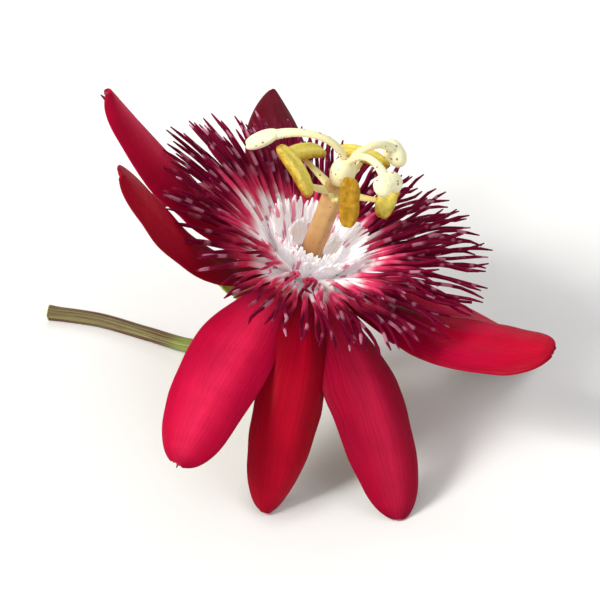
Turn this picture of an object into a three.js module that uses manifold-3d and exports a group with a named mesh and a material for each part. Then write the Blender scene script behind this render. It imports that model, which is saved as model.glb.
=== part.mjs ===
// A red passion flower with a white eye, as picked, lying on a surface on three tepal tips and its stalk.
// Millimetres, +Z up, the surface at z = 0. The bloom is modelled round its own axis and then leans as it lies.
import * as THREE from 'three';
import { mergeVertices } from 'three/addons/utils/BufferGeometryUtils.js';
import Module from 'manifold-3d';

const wasm = await Module();
wasm.setup();

// Driving dimensions of the bloom, measured from its centre, where the tepals leave the cup.
const CENTRE_HEIGHT = 28;
const LEAN_RIGHT = 17.5;
const LEAN_FORWARD = 4;
const SEAT_GAP = 0.3;

const CUP = { radius: 8, depth: 8.2, wall: 1.8, floor: -2.8, neck: 2.2 };
const TEPAL_ROOT = CUP.radius + SEAT_GAP;
const SEPAL = {
  length: 44, width: 15.6, thickness: 0.9, height: -1.55, baseShare: 0.45, spread: 0.5, tipPower: 5.5,
};
const PETAL = {
  length: 44, width: 13.8, thickness: 0.8, height: -0.25, baseShare: 0.36, spread: 0.6, tipPower: 6,
};
const AWN = { length: 4.2, radius: 0.75, from: 0.86 };
const BRACT = {
  length: 16, width: 8.8, thickness: 0.8, height: -10.4, baseShare: 0.22, spread: 0.6, tipPower: 2.6,
};
const BRACT_ROOT = 1.95;
const BRACT_TURNS = [28, 152, 268];

const CORONA_RING = { inner: 6.2, outer: 8, bottom: SEAT_GAP, top: 2 };
const EYE_RING = { inner: 3.3, outer: 5.9, bottom: CUP.floor + SEAT_GAP, top: 1.2 };
const COLUMN = { foot: 2.7, waist: 1.7, head: 2, bottom: CUP.floor + SEAT_GAP, top: 18.4 };
const OVARY = { radius: 2.3, bottom: COLUMN.top + SEAT_GAP, height: 6 };
const STAMEN = { level: COLUMN.top - 0.9, width: 1.1, thickness: 0.7, end: 0.42 };
const ANTHER = { length: 10.5, width: 3.6, thickness: 2.2 };
// Each stamen: its turn round the axis, its reach, the rise of its end, and how its anther tilts, swings and rolls.
const STAMENS = [
  { turn: -11, reach: 9, rise: 1.6, tilt: 8, yaw: 0, roll: 0 },
  { turn: 60, reach: 8.8, rise: 2, tilt: -14, yaw: 0, roll: 0 },
  { turn: 133, reach: 9, rise: 0.4, tilt: 10, yaw: 0, roll: 0 },
  { turn: 205, reach: 10.5, rise: 4.4, tilt: -32, yaw: 33, roll: 0 },
  { turn: 263, reach: 8.7, rise: 4.3, tilt: -75, yaw: 0, roll: 80 },
];
const STYLE = { radius: 0.88, stigma: 2.7 };
// Each style: its turn, its reach, its arch and the height of its end above the ovary's top.
const STYLES = [
  { turn: -56, reach: 10.8, arch: 4.6, end: 1.6 },
  { turn: 26, reach: 11, arch: 3.4, end: -1.2 },
  { turn: 178, reach: 17, arch: 4.2, end: -1.6 },
];
const STALK = { radius: 1.25, cutRadius: 1.35, sides: 10, steps: 26, sunk: 0.15 };

// Each tepal: its turn round the axis, three angles above the level that bend its spine from base to tip,
// how far its edges roll back, its twist in degrees and its sideways sweep. Two have a claw that ends elsewhere,
// or a tip more pointed, than their kind's.
const TEPALS = [
  { name: 'petal_1', turn: -33, bends: [2, 26, 30], roll: 38, twist: 14, sweep: -1 },
  { name: 'sepal_1', turn: -63.9, bends: [2, -21, -54], roll: 50, twist: 11, sweep: 2.9 },
  { name: 'petal_2', turn: -90.6, bends: [8, -50, -77], roll: 52, twist: -6, sweep: 2, spread: 0.8 },
  { name: 'sepal_2', turn: -118.6, bends: [2, -24, -33], roll: 40, twist: 3, sweep: 5.7 },
  { name: 'petal_3', turn: -148, bends: [4, 60, 34], roll: 40, twist: -24, sweep: -5.5 },
  { name: 'sepal_3', turn: 171.5, bends: [27, 37, 39], roll: 60, twist: -4, sweep: 3 },
  { name: 'petal_4', turn: 127, bends: [4, -34, -66], roll: 42, twist: 6, sweep: -3 },
  { name: 'sepal_4', turn: 98, bends: [8, 8, -12], roll: 75, twist: 4, sweep: -1, taper: 0.85 },
  { name: 'petal_5', turn: 58, bends: [6, -24, -52], roll: 44, twist: -6, sweep: 1.5 },
  { name: 'sepal_5', turn: 13, bends: [2, -31, -20], roll: 46, twist: -24, sweep: 0.5 },
];

// Rows of corona threads: how many, where they root, their reach and rise, and their thickness at root and tip.
const OUTER_THREADS = { count: 48, root: 7.3, foot: 1.1, reach: 23.6, rise: 10.6, bow: 2.8, thick: 0.6, tip: 0.34 };
const UPPER_THREADS = { count: 36, root: 6.9, foot: 1.5, reach: 17, rise: 13.2, bow: 2.4, thick: 0.58, tip: 0.34 };
const EYE_THREADS = { count: 26, root: 5.3, foot: 0.7, reach: 3.4, rise: 7.6, bow: 0.4, thick: 0.55, tip: 0.36 };
const INNER_THREADS = { count: 18, root: 4.3, foot: 0.8, reach: 0.4, rise: 5.2, bow: 0.2, thick: 0.5, tip: 0.34 };
// The corona stands higher on one side, and sinks towards the front and the back.
const HIGH_SIDE = 175;
const SIDE_LIFT = 1.8;
const CROSS_DIP = 5;

const finish = (color, roughness) => new THREE.MeshStandardMaterial({ color, roughness, metalness: 0 });
const SEPAL_RED = finish(0xc3193f, 0.45);
const PETAL_RED = finish(0xb30a2c, 0.45);
const MAROON = finish(0x55071f, 0.55);
const WHITE = finish(0xf4e9ee, 0.6);
const CREAM = finish(0xe9e3a6, 0.5);
const PEACH = finish(0xe0b793, 0.5);
const GOLD = finish(0xc9992a, 0.8);
const LEAF_GREEN = finish(0x6f9a1d, 0.55);
const STALK_GREEN = finish(0x6b7a2a, 0.55);

const radians = THREE.MathUtils.degToRad;
const mix = THREE.MathUtils.lerp;

// A repeatable draw between -1 and 1.
function drawer(seed) {
  let state = seed;
  return () => {
    state = (Math.imul(state, 1664525) + 1013904223) >>> 0;
    return state / 2 ** 31 - 1;
  };
}

// A closed body from rings of points that follow each other, with its two ends filled by fans.
function skin(rings) {
  const sides = rings[0].length;
  const triangles = [];
  for (let i = 0; i + 1 < rings.length; i++) {
    for (let j = 0; j < sides; j++) {
      const a = i * sides + j;
      const b = i * sides + ((j + 1) % sides);
      triangles.push(a, b, b + sides, a, b + sides, a + sides);
    }
  }
  const last = (rings.length - 1) * sides;
  for (let j = 1; j + 1 < sides; j++) {
    triangles.push(0, j + 1, j, last, last + j, last + j + 1);
  }
  const geometry = new THREE.BufferGeometry();
  geometry.setAttribute('position', new THREE.Float32BufferAttribute(rings.flat().flatMap((p) => p.toArray()), 3));
  geometry.setIndex(triangles);
  return geometry;
}

// A tube along a curve whose half width and half thickness change along it.
function taperedTube(curve, steps, sides, sizeAt) {
  const frames = curve.computeFrenetFrames(steps, false);
  const rings = [];
  for (let i = 0; i <= steps; i++) {
    const centre = curve.getPointAt(i / steps);
    const [across, through] = sizeAt(i / steps);
    rings.push(Array.from({ length: sides }, (_, j) => {
      const angle = (2 * Math.PI * j) / sides;
      return centre.clone()
        .addScaledVector(frames.normals[i], across * Math.cos(angle))
        .addScaledVector(frames.binormals[i], through * Math.sin(angle));
    }));
  }
  return skin(rings);
}

// A body of revolution from [radius, height] pairs, listed so that the body lies on their left.
function turned(pairs, sides) {
  return new THREE.LatheGeometry(pairs.map(([r, z]) => new THREE.Vector2(r, z)), sides).rotateX(Math.PI / 2);
}

function solidOf(geometry) {
  const bare = geometry.clone().deleteAttribute('normal').deleteAttribute('uv');
  const merged = mergeVertices(bare, 1e-4);
  return new wasm.Manifold(new wasm.Mesh({
    numProp: 3,
    vertProperties: merged.attributes.position.array,
    triVerts: new Uint32Array(merged.index.array),
  }));
}

function geometryOf(solid) {
  const { vertProperties, triVerts } = solid.getMesh();
  const geometry = new THREE.BufferGeometry();
  geometry.setAttribute('position', new THREE.BufferAttribute(new Float32Array(vertProperties), 3));
  geometry.setIndex(new THREE.BufferAttribute(new Uint32Array(triVerts), 1));
  return geometry;
}

const fused = (geometries) => geometryOf(geometries.map(solidOf).reduce((a, b) => a.add(b)));

// The spine of a blade: its distance from the axis, its height and its angle, at a share of its length.
function spine(root, height, length, [first, middle, last]) {
  const steps = 48;
  const angleAt = (s) => radians((1 - s) ** 2 * first + 2 * s * (1 - s) * middle + s * s * last);
  const stations = [{ out: root, up: height }];
  for (let i = 0; i < steps; i++) {
    const angle = angleAt((i + 0.5) / steps);
    const { out, up } = stations[i];
    stations.push({ out: out + (length / steps) * Math.cos(angle), up: up + (length / steps) * Math.sin(angle) });
  }
  return (s) => {
    const i = Math.min(Math.floor(s * steps), steps - 1);
    const t = s * steps - i;
    return {
      out: mix(stations[i].out, stations[i + 1].out, t),
      up: mix(stations[i].up, stations[i + 1].up, t),
      angle: angleAt(s),
    };
  };
}

// The middle surface of a blade, as a function of the share along it and of the place across it, -1 to 1.
function bladeSurface(form, pose) {
  const along = spine(pose.root, form.height, form.length, pose.bends);
  const toothed = form.teeth ? (s) => 1 + 0.07 * Math.cos(2 * Math.PI * form.teeth * s) : () => 1;
  return (s, v) => {
    const { out, up, angle } = along(s);
    const share = mix(form.baseShare, 1, THREE.MathUtils.smoothstep(s, 0, pose.spread ?? form.spread));
    const tip = Math.max(1 - s ** form.tipPower, 0) ** (pose.taper ?? 0.5);
    const half = (form.width / 2) * share * tip * toothed(s);
    const roll = radians(pose.roll) * mix(0.35, 1, s);
    const turn = radians(pose.twist) * s;
    const flatSide = (half * Math.sin(roll * v)) / roll;
    const flatLift = (-half * (1 - Math.cos(roll * v))) / roll;
    const side = flatSide * Math.cos(turn) - flatLift * Math.sin(turn) + pose.sweep * s * s;
    const lift = flatSide * Math.sin(turn) + flatLift * Math.cos(turn);
    return new THREE.Vector3(out - lift * Math.sin(angle), side, up + lift * Math.cos(angle));
  };
}

// A thin arched blade: both faces share one pattern of triangles, and a rim closes them.
function blade(form, pose, rows = 13, columns = 5) {
  const surface = bladeSurface(form, pose);
  const step = 1e-3;
  const lastRow = 0.992;
  const upper = [];
  const lower = [];
  for (let i = 0; i <= rows; i++) {
    const s = lastRow * (1 - (1 - i / rows) ** 1.35);
    for (let j = 0; j <= columns; j++) {
      const v = (2 * j) / columns - 1;
      const middle = surface(s, v);
      const alongIt = surface(s + step, v * 0.98).sub(surface(Math.max(s - step, 0), v * 0.98));
      const acrossIt = surface(s, v + step).sub(surface(s, v - step));
      const normal = alongIt.cross(acrossIt).normalize();
      const half = (form.thickness / 2) * mix(1, 0.78, v * v);
      upper.push(middle.clone().addScaledVector(normal, half));
      lower.push(middle.clone().addScaledVector(normal, -half));
    }
  }
  const width = columns + 1;
  const below = upper.length;
  const triangles = [];
  for (let i = 0; i < rows; i++) {
    for (let j = 0; j < columns; j++) {
      const a = i * width + j;
      const [b, c, d] = [a + width, a + width + 1, a + 1];
      triangles.push(a, b, c, a, c, d);
      triangles.push(below + a, below + c, below + b, below + a, below + d, below + c);
    }
  }
  const rim = [];
  for (let j = 0; j < columns; j++) rim.push(j);
  for (let i = 0; i < rows; i++) rim.push(i * width + columns);
  for (let j = columns; j > 0; j--) rim.push(rows * width + j);
  for (let i = rows; i > 0; i--) rim.push(i * width);
  rim.forEach((a, k) => {
    const b = rim[(k + 1) % rim.length];
    triangles.push(a, b, below + b, a, below + b, below + a);
  });
  const geometry = new THREE.BufferGeometry();
  const points = [...upper, ...lower].flatMap((p) => p.toArray());
  geometry.setAttribute('position', new THREE.Float32BufferAttribute(points, 3));
  geometry.setIndex(triangles);
  return geometry.rotateZ(radians(pose.turn));
}

// The small horn on a sepal's back, which runs on past its tip.
function awn(form, pose) {
  const surface = bladeSurface(form, pose);
  const root = surface(AWN.from, 0);
  const along = surface(AWN.from + 0.05, 0).sub(surface(AWN.from - 0.05, 0)).normalize();
  const outward = surface(AWN.from, 0.02).sub(surface(AWN.from, -0.02)).cross(along).normalize();
  const reach = (share, drop) => root.clone()
    .addScaledVector(along, share * AWN.length)
    .addScaledVector(outward, drop);
  const path = new THREE.QuadraticBezierCurve3(reach(-0.6, 0.7), reach(0.35, 0.95), reach(1.5, 1.6));
  const horn = taperedTube(path, 3, 4, (u) => [mix(AWN.radius, 0.3, u), mix(AWN.radius, 0.3, u)]);
  return horn.rotateZ(radians(pose.turn));
}

// One thread of the corona, from inside its ring outwards and upwards.
function thread(row, turn, reach, rise, sway) {
  const side = SIDE_LIFT * Math.cos(turn - radians(HIGH_SIDE)) - CROSS_DIP * Math.sin(turn) ** 2;
  const lift = side * (row.reach / OUTER_THREADS.reach);
  const root = new THREE.Vector3(row.root - 0.4, 0, row.foot - 0.2);
  const tip = new THREE.Vector3(row.root + reach, sway, row.foot + rise + lift);
  const knee = root.clone().lerp(tip, 0.5).add(new THREE.Vector3(-0.4 * row.bow, 0, row.bow));
  const path = new THREE.QuadraticBezierCurve3(root, knee, tip);
  const steps = row.reach > 5 ? 5 : 3;
  const sizeAt = (u) => [mix(row.thick, row.tip, u), mix(row.thick, row.tip, u)];
  return taperedTube(path, steps, 3, sizeAt).rotateZ(turn);
}

function threadRow(row, seed) {
  const draw = drawer(seed);
  return Array.from({ length: row.count }, (_, k) => {
    const turn = (2 * Math.PI * (k + 0.12 * draw())) / row.count;
    const size = 1 + 0.06 * draw();
    return thread(row, turn, row.reach * size, row.rise * (1 + 0.1 * draw()), 0.9 * draw() * (row.reach / 20));
  });
}

function ring({ inner, outer, bottom, top }, sides) {
  const crown = (inner + outer) / 2;
  return turned([
    [inner, bottom], [outer, bottom], [outer, mix(bottom, top, 0.6)], [crown, top],
    [inner, mix(bottom, top, 0.6)], [inner, bottom],
  ], sides);
}

function floralCup() {
  const { radius, depth, wall, floor, neck } = CUP;
  const bowl = Array.from({ length: 6 }, (_, k) => {
    const angle = (Math.PI / 2) * ((k + 1) / 6);
    return [mix(radius, neck, 1 - Math.cos(angle)), -2.2 - (depth - 2.2) * Math.sin(angle)];
  }).reverse();
  return turned([[0, -depth], ...bowl, [radius, -2.2], [radius, 0], [radius - wall, 0], [radius - wall, floor], [0, floor]], 36);
}

function column() {
  const { foot, waist, head, bottom, top } = COLUMN;
  return turned([
    [0, bottom], [foot, bottom], [foot * 0.8, bottom + 0.9], [waist, bottom + 3], [waist, top - 3],
    [head, top - 0.8], [head, top], [0, top],
  ], 14);
}

function ovary() {
  const profile = Array.from({ length: 9 }, (_, k) => {
    const angle = Math.PI * mix(0.1, 0.9, k / 8);
    return [OVARY.radius * Math.sin(angle), OVARY.bottom + (OVARY.height / 2) * (1 - Math.cos(angle) / Math.cos(0.1 * Math.PI))];
  });
  return turned([[0, OVARY.bottom], ...profile, [0, OVARY.bottom + OVARY.height]], 14);
}

// A flat stamen stalk from the column's head, and the pollen bags that it carries across its end.
function stamen({ turn, reach, rise }) {
  const start = COLUMN.head + SEAT_GAP;
  const path = new THREE.QuadraticBezierCurve3(
    new THREE.Vector3(start, 0, STAMEN.level),
    new THREE.Vector3(mix(start, reach, 0.55), 0, STAMEN.level + 0.12 * rise + 0.25),
    new THREE.Vector3(reach, 0, STAMEN.level + rise),
  );
  const sizeAt = (u) => [mix(STAMEN.thickness, STAMEN.end, u), mix(STAMEN.width, STAMEN.end, u)];
  return taperedTube(path, 6, 8, sizeAt).rotateZ(radians(turn));
}

function anther({ turn, reach, rise, tilt, yaw, roll }) {
  const bag = Array.from({ length: 9 }, (_, k) => {
    const angle = Math.PI * mix(0.06, 0.94, k / 8);
    return [Math.sin(angle) ** 0.6, -Math.cos(angle)];
  });
  const rings = bag.map(([girth, along]) => Array.from({ length: 10 }, (_, j) => {
    const angle = (2 * Math.PI * j) / 10;
    const groove = 1 - 0.22 * Math.max(0, -Math.sin(angle)) ** 6;
    return new THREE.Vector3(
      (ANTHER.width / 2) * girth * Math.cos(angle),
      (ANTHER.length / 2) * along,
      (ANTHER.thickness / 2) * girth * Math.sin(angle) * groove - 0.7 * along * along,
    );
  }));
  const seat = mix(ANTHER.thickness, ANTHER.width, roll / 90) / 2 + STAMEN.end + SEAT_GAP;
  const bags = skin(rings.map((r) => r.reverse())).rotateY(radians(roll)).translate(0, 0, seat);
  bags.rotateX(radians(tilt)).rotateZ(radians(yaw)).translate(reach, 0, STAMEN.level + rise);
  return bags.rotateZ(radians(turn));
}

// A style that arches out from the ovary's top and ends in its broad stigma.
function style({ turn, reach, arch, end }) {
  const start = OVARY.bottom + OVARY.height;
  const path = new THREE.CubicBezierCurve3(
    new THREE.Vector3(1.1, 0, start + 0.15),
    new THREE.Vector3(3.2, 0, start + arch * 1.15),
    new THREE.Vector3(reach * 0.75, 0.6, start + arch),
    new THREE.Vector3(reach, 1.2, start + end),
  );
  const sizeAt = (u) => {
    const head = Math.max(0, (u - 0.74) / 0.26);
    const swell = STYLE.stigma * Math.sqrt(Math.max(0, Math.sin(Math.PI * Math.min(head, 0.9))));
    const stem = mix(STYLE.radius * 0.8, STYLE.radius, u);
    return [Math.max(stem, swell * 0.8), Math.max(stem, swell)];
  };
  return taperedTube(path, 16, 8, sizeAt).rotateZ(radians(turn));
}

// The stalk, in the part's frame: down from the cup, round, and along the surface to its cut end.
function stalk(tilt) {
  const down = new THREE.Vector3(0, 0, -1).applyMatrix4(tilt);
  const centre = new THREE.Vector3(0, 0, CENTRE_HEIGHT);
  const top = centre.clone().addScaledVector(down, CUP.depth + SEAT_GAP);
  const level = STALK.radius - STALK.sunk;
  const route = [
    top,
    centre.clone().addScaledVector(down, CUP.depth + 5.5),
    new THREE.Vector3(-11.5, 5.5, 8.4),
    new THREE.Vector3(-20, 11.5, level + 1.4),
    new THREE.Vector3(-29, 17.5, level),
    new THREE.Vector3(-38, 22, level),
    new THREE.Vector3(-47.5, 24.5, level),
  ];
  const sizeAt = (u) => {
    const knot = 0.4 * Math.exp(-(((u - 0.035) / 0.03) ** 2));
    const size = mix(STALK.radius, STALK.cutRadius, u) + knot;
    return [size, size];
  };
  return taperedTube(new THREE.CatmullRomCurve3(route), STALK.steps, STALK.sides, sizeAt);
}

const part = new THREE.Group();
const bloom = new THREE.Group();
bloom.rotation.set(radians(LEAN_FORWARD), radians(LEAN_RIGHT), 0);
bloom.position.z = CENTRE_HEIGHT;
bloom.updateMatrixWorld(true);

const ground = new THREE.BoxGeometry(400, 400, 40).translate(0, 0, -20);
const groundUnderBloom = solidOf(ground.clone().applyMatrix4(bloom.matrixWorld.clone().invert()));
const rested = (geometry) => geometryOf(solidOf(geometry).subtract(groundUnderBloom));

function add(group, name, geometry, material) {
  const mesh = new THREE.Mesh(geometry, material);
  mesh.name = name;
  group.add(mesh);
}

add(bloom, 'floral_cup', floralCup(), LEAF_GREEN);
for (const pose of TEPALS) {
  const isSepal = pose.name.startsWith('sepal');
  const form = isSepal ? SEPAL : PETAL;
  const placed = { ...pose, root: TEPAL_ROOT };
  const body = isSepal ? fused([blade(form, placed), awn(form, placed)]) : blade(form, placed);
  add(bloom, pose.name, rested(body), isSepal ? SEPAL_RED : PETAL_RED);
}
BRACT_TURNS.forEach((turn, k) => {
  const pose = { root: BRACT_ROOT, turn, bends: [-24, -4, 26], roll: -30, twist: 8, sweep: 0.8 };
  add(bloom, `bract_${k + 1}`, blade({ ...BRACT, teeth: 5 }, pose, 11, 4), LEAF_GREEN);
});
add(bloom, 'corona_threads', fused([
  ring(CORONA_RING, 48),
  ...threadRow(OUTER_THREADS, 11),
  ...threadRow(UPPER_THREADS, 23),
]), MAROON);
add(bloom, 'corona_eye', fused([
  ring(EYE_RING, 40),
  ...threadRow(EYE_THREADS, 37),
  ...threadRow(INNER_THREADS, 41),
]), WHITE);
add(bloom, 'column', column(), PEACH);
add(bloom, 'ovary', ovary(), CREAM);
STAMENS.forEach((pose, k) => {
  add(bloom, `stamen_${k + 1}`, stamen(pose), CREAM);
  add(bloom, `anther_${k + 1}`, anther(pose), GOLD);
});
STYLES.forEach((pose, k) => add(bloom, `style_${k + 1}`, style(pose), CREAM));
part.add(bloom);
const tilt = new THREE.Matrix4().extractRotation(bloom.matrixWorld);
add(part, 'stalk', geometryOf(solidOf(stalk(tilt)).subtract(solidOf(ground))), STALK_GREEN);

// The origin goes to the middle of the space that the flower takes, on the surface.
part.updateMatrixWorld(true);
const middle = new THREE.Box3().setFromObject(part, true).getCenter(new THREE.Vector3());
part.position.set(-middle.x, -middle.y, 0);

export default part;
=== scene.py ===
"""A red passion flower with a white eye, as picked, lying on a pale surface.

The sizes are in millimetres in the bloom's own frame: its origin is where the tepals leave the cup, and its
+Z is the bloom's axis. A Placing turns that frame to the way the bloom lies, and to metres. The angles that
are written as sizes are in degrees.
"""

import logging
import math
import random
from dataclasses import dataclass, field
from enum import Enum
from itertools import accumulate
from typing import Callable, Iterable, Sequence

import bmesh
import bpy
from mathutils import Matrix, Vector, noise


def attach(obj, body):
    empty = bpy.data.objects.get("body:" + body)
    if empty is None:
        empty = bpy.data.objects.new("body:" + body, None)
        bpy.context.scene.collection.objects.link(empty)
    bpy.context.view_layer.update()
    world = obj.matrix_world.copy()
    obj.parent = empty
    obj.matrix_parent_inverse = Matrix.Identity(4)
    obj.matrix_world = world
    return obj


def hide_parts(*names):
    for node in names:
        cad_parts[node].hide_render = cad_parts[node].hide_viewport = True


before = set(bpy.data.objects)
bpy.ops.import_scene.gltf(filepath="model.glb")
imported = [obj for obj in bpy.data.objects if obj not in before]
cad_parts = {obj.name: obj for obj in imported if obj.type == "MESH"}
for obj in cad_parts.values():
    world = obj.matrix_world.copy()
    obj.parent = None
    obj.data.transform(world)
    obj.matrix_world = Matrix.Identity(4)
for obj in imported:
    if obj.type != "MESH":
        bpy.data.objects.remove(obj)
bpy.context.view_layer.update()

LOG = logging.getLogger("passion_flower")
BODY = "root"
MM = 0.001
SIDEWAYS = Vector((0, 1, 0)).freeze()

# How the bloom lies: the height of its centre over the surface, and its lean.
CENTRE_HEIGHT = 28.0
LEAN_RIGHT = 17.5
LEAN_FORWARD = 4.0

# The sizes that more than one sub-assembly needs. The gap stands where two solids are grown together.
SEAT_GAP = 0.3
CUP_RADIUS = 8.0
CUP_DEPTH = 8.2
COLUMN_TOP = 18.4

# From this share of its length on, a strand's end is drawn in to blunt it.
NEAR_END = 0.999

Socket = bpy.types.NodeSocket
Material = bpy.types.Material
Curve = Callable[[float], Vector]
Size = Callable[[float], tuple[float, float]]
Skins = dict[str, Material]


def mix(first: float, second: float, share: float) -> float:
    """Gives the value a share of the way from the first to the second."""
    return first + (second - first) * share


def smooth(value: float, low: float, high: float) -> float:
    """Gives 0 below low, 1 above high, and an even slope between them."""
    share = min(max((value - low) / (high - low), 0.0), 1.0)
    return share * share * (3 - 2 * share)


def bell(value: float, middle: float, width: float) -> float:
    """Gives 1 at the middle, falling evenly to nothing on both sides."""
    return math.exp(-(((value - middle) / width) ** 2))


def running(steps: Iterable[float]) -> list[float]:
    """Gives the sums of the steps so far, from 0."""
    return [0.0, *accumulate(steps)]


def tint(code: str) -> tuple[float, float, float, float]:
    """Turns a six-digit screen colour into the linear colour that a shader takes.

    Args:
        code: The colour as red, green and blue, two hexadecimal digits each.

    Returns:
        The linear colour, opaque.
    """
    shares = [int(code[i : i + 2], 16) / 255 for i in (0, 2, 4)]
    linear = [c / 12.92 if c <= 0.04045 else ((c + 0.055) / 1.055) ** 2.4 for c in shares]
    return (linear[0], linear[1], linear[2], 1.0)


class Placing:
    """The way the bloom lies: its turn, its centre, and the change from millimetres to metres."""

    def __init__(self) -> None:
        """Finds the bloom's centre from the column, whose corners lie evenly round the axis."""
        turn = Matrix.Rotation(math.radians(LEAN_FORWARD), 4, "X")
        self.turn = turn @ Matrix.Rotation(math.radians(LEAN_RIGHT), 4, "Y")
        self.axis = self.turn @ Vector((0, 0, 1))
        corners = [vertex.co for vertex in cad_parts["column"].data.vertices]
        middle = sum(corners, Vector()) / len(corners)
        self.centre = middle - self.axis * ((middle.z - CENTRE_HEIGHT * MM) / self.axis.z)

    def bloom(self, turn: float = 0.0) -> Matrix:
        """Gives the change from a frame turned round the bloom's axis, in millimetres, to metres."""
        spin = Matrix.Rotation(math.radians(turn), 4, "Z")
        return Matrix.Translation(self.centre) @ self.turn @ Matrix.Scale(MM, 4) @ spin

    def surface(self) -> Matrix:
        """Gives the change from millimetres on the surface, from below the centre, to metres."""
        return Matrix.Translation((self.centre.x, self.centre.y, 0)) @ Matrix.Scale(MM, 4)


PLACING = Placing()


class Mark(Enum):
    """The values that a mesh carries at its points, which the finishes read.

    Along runs from root to tip and across from side to side. The tone is one value for each blade or strand.
    The depth is painted shade over a whole tepal, for how far it lies in shade, with some of the tepal's own
    darkness in it, and how far round to its back a point of an anther lies.
    """

    ALONG = "along"
    ACROSS = "across"
    TONE = "tone"
    DEPTH = "depth"


class Body:
    """A mesh in the making, with its marks, and the piece that it becomes."""

    def __init__(self) -> None:
        """Starts an empty mesh with a layer for each mark."""
        self.mesh = bmesh.new()
        layers = self.mesh.verts.layers.float
        for mark in Mark:
            layers.new(mark.value)
        self.layers = {mark: layers[mark.value] for mark in Mark}

    def mark(
        self, vertex: bmesh.types.BMVert, along: float, across: float, tone: float, depth: float = 0.0,
    ) -> None:
        """Writes the marks of a point."""
        vertex[self.layers[Mark.ALONG]] = along
        vertex[self.layers[Mark.ACROSS]] = across
        vertex[self.layers[Mark.TONE]] = tone
        # The depth mark: painted shade on a tepal, and the back side on an anther.
        vertex[self.layers[Mark.DEPTH]] = depth

    def finish(
        self,
        name: str,
        finishes: Sequence[Material],
        slot: str,
        nodes: Sequence[str],
        placing: Matrix,
        rounds: int = 0,
    ) -> bpy.types.Object:
        """Puts the mesh where the bloom lies, makes it a piece and hands it to the frame.

        Args:
            name: The piece's name.
            finishes: Its materials, in the order of its faces' material numbers.
            slot: The record's material slot that it stands for; not used.
            nodes: The solids that it replaces.
            placing: The change from the mesh's own frame to metres on the surface.
            rounds: How many rounds of subdivision smooth it.

        Returns:
            The finished piece.
        """
        bmesh.ops.transform(self.mesh, matrix=placing, verts=self.mesh.verts)
        for vertex in self.mesh.verts:
            vertex.co.z = max(vertex.co.z, 0.0)
        for face in self.mesh.faces:
            face.smooth = True
        data = bpy.data.meshes.new(name)
        self.mesh.to_mesh(data)
        self.mesh.free()
        for material in finishes:
            data.materials.append(material)
        piece = bpy.data.objects.new(name, data)
        bpy.context.scene.collection.objects.link(piece)
        if rounds:
            modifier = piece.modifiers.new("rounding", "SUBSURF")
            modifier.levels = rounds
            modifier.render_levels = rounds
        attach(piece, BODY)
        if nodes:
            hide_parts(*nodes)
        LOG.info("%s: %d faces", name, len(data.polygons))
        return piece


def bezier(points: Sequence[Vector], share: float) -> Vector:
    """Gives the point at a share of the way along a Bezier curve."""
    left = list(points)
    while len(left) > 1:
        left = [a.lerp(b, share) for a, b in zip(left, left[1:])]
    return left[0]


def strand_template(sides: int, steps: int) -> bpy.types.Mesh:
    """Makes a closed straight tube of radius 1, from 0 to 1 up its axis.

    Args:
        sides: Its sides.
        steps: The stretches that it is cut into along its length.

    Returns:
        The tube's mesh.
    """
    tube = bmesh.new()
    bmesh.ops.create_cone(
        tube, cap_ends=True, segments=sides, radius1=1, radius2=1, depth=1,
        matrix=Matrix.Translation((0, 0, 0.5)),
    )
    upright = [e for e in tube.edges if abs(e.verts[0].co.z - e.verts[1].co.z) > 0.5]
    bmesh.ops.subdivide_edges(tube, edges=upright, cuts=steps - 1)
    data = bpy.data.meshes.new("strand_template")
    tube.to_mesh(data)
    tube.free()
    return data


@dataclass
class Strands:
    """Tubes that follow curves, gathered in one body."""

    body: Body
    sides: int
    steps: int
    template: bpy.types.Mesh = field(init=False)

    def __post_init__(self) -> None:
        """Makes the tube that every strand starts from."""
        self.template = strand_template(self.sides, self.steps)

    def add(
        self,
        curve: Curve,
        size: Size,
        tone: float,
        side: Vector = SIDEWAYS,
        run: float = 1.0,
    ) -> None:
        """Lays one strand along a curve.

        Args:
            curve: The point at each share of the strand's length.
            size: Its half width along side and its half thickness, at each share.
            tone: The strand's own mark, between 0 and 1.
            side: The direction of its width at its root.
            run: The value that its mark along reaches at its tip.
        """
        centres = [curve(k / self.steps) for k in range(self.steps + 1)]
        stations = []
        for k, centre in enumerate(centres):
            ahead = centres[min(k + 1, self.steps)] - centres[max(k - 1, 0)]
            tangent = ahead.normalized()
            side = (side - tangent * side.dot(tangent)).normalized()
            stations.append((centre, side.copy(), tangent.cross(side)))
        mesh = self.body.mesh
        first = len(mesh.verts)
        mesh.from_mesh(self.template)
        mesh.verts.ensure_lookup_table()
        for vertex in mesh.verts[first:]:
            x, y, share = vertex.co
            centre, across, through = stations[round(share * self.steps)]
            width, thickness = size(share)
            vertex.co = centre + across * (x * width) + through * (y * thickness)
            self.body.mark(vertex, share * run, x, tone)


def turned(profile: Sequence[tuple[float, float]], steps: int) -> Body:
    """Spins a profile round the bloom's axis.

    Args:
        profile: Pairs of distance from the axis and height, from one end of the outline to the other.
        steps: The stretches round the axis.

    Returns:
        The closed body, with its mark along running from its lowest to its highest point.
    """
    body = Body()
    mesh = body.mesh
    corners = [mesh.verts.new((distance, 0, height)) for distance, height in profile]
    edges = [mesh.edges.new(pair) for pair in zip(corners, corners[1:])]
    bmesh.ops.spin(
        mesh, geom=corners + edges, cent=(0, 0, 0), axis=(0, 0, 1), angle=2 * math.pi,
        steps=steps, use_merge=True,
    )
    bmesh.ops.remove_doubles(mesh, verts=mesh.verts, dist=1e-4)
    bmesh.ops.recalc_face_normals(mesh, faces=mesh.faces)
    heights = [height for _, height in profile]
    low, high = min(heights), max(heights)
    for vertex in mesh.verts:
        round_it = math.atan2(vertex.co.y, vertex.co.x) / math.pi
        body.mark(vertex, (vertex.co.z - low) / (high - low), round_it, 0.0)
    return body


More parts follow.
